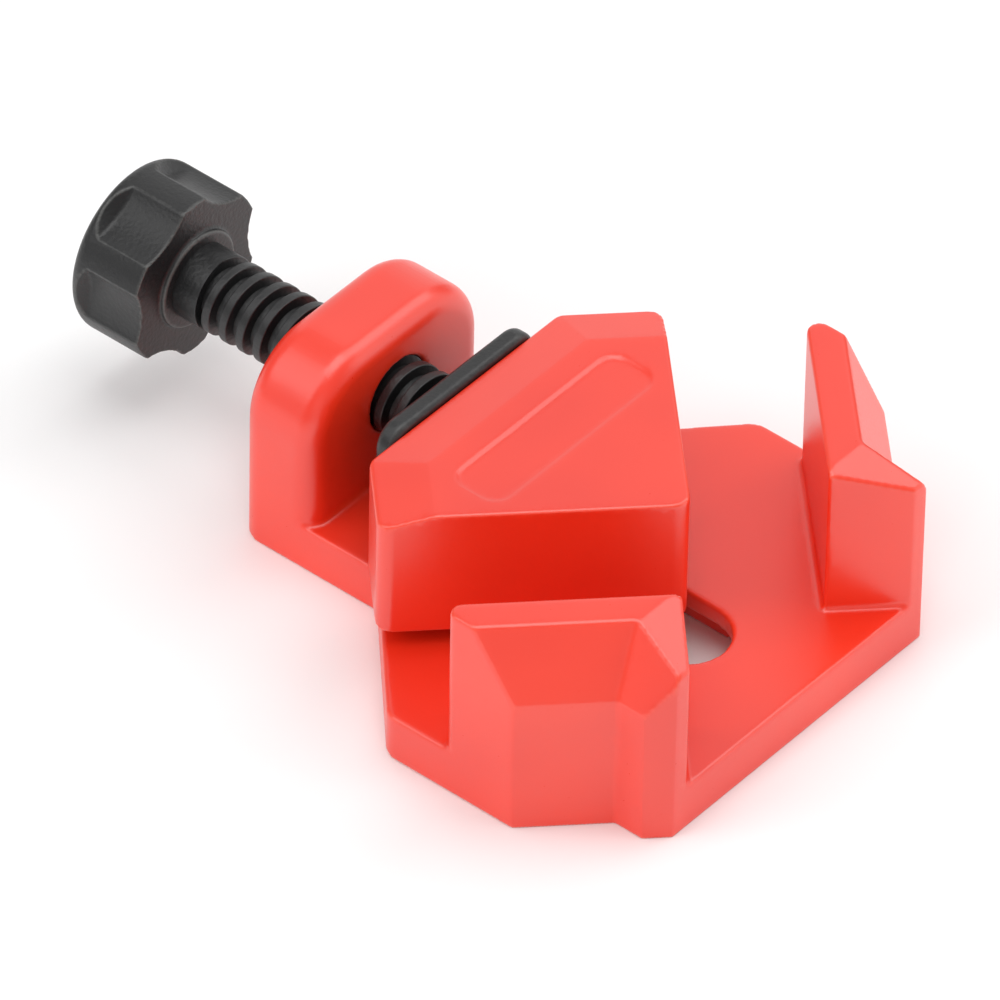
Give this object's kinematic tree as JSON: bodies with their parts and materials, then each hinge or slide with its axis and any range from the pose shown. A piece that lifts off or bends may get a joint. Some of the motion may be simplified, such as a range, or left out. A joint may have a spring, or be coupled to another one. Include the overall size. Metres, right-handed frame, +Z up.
{
  "type": "corner clamp",
  "caption": "Right-angle corner clamp: moulded base with fences, sliding corner jaw on a guided carriage, and a knobbed screw through a rear post that drives the jaw.",
  "frame": {"origin": "middle of the box in plan, on the ground under the base", "axes": "+Z up, +Y along the screw axis from the fence corner to the knob, +X across the base"},
  "size_m": [0.076, 0.1156, 0.0325],
  "materials": {
    "red_plastic": "satin moulded",
    "black_plastic": "fine moulded"
  },
  "bodies": {
    "base": {"base": "red_plastic"},
    "slider": {"jaw": "red_plastic", "carriage": "black_plastic"},
    "screw": {"clamp_screw": "black_plastic"}
  },
  "joints": [
    {"name": "jaw_slide", "type": "slide", "parent": "base", "child": "slider", "axis": [0, -1, 0], "range_m": [-0.0072, 0.0218]},
    {"name": "screw_turn", "type": "hinge", "parent": "slider", "child": "screw", "pos_m": [0, 0, 0.0199], "axis": [0, -1, 0], "range_deg": [-870, 2620]}
  ],
  "couplings": [
    {"joint": "screw_turn", "follows": "jaw_slide", "rad_per_m": 2094.4}
  ]
}
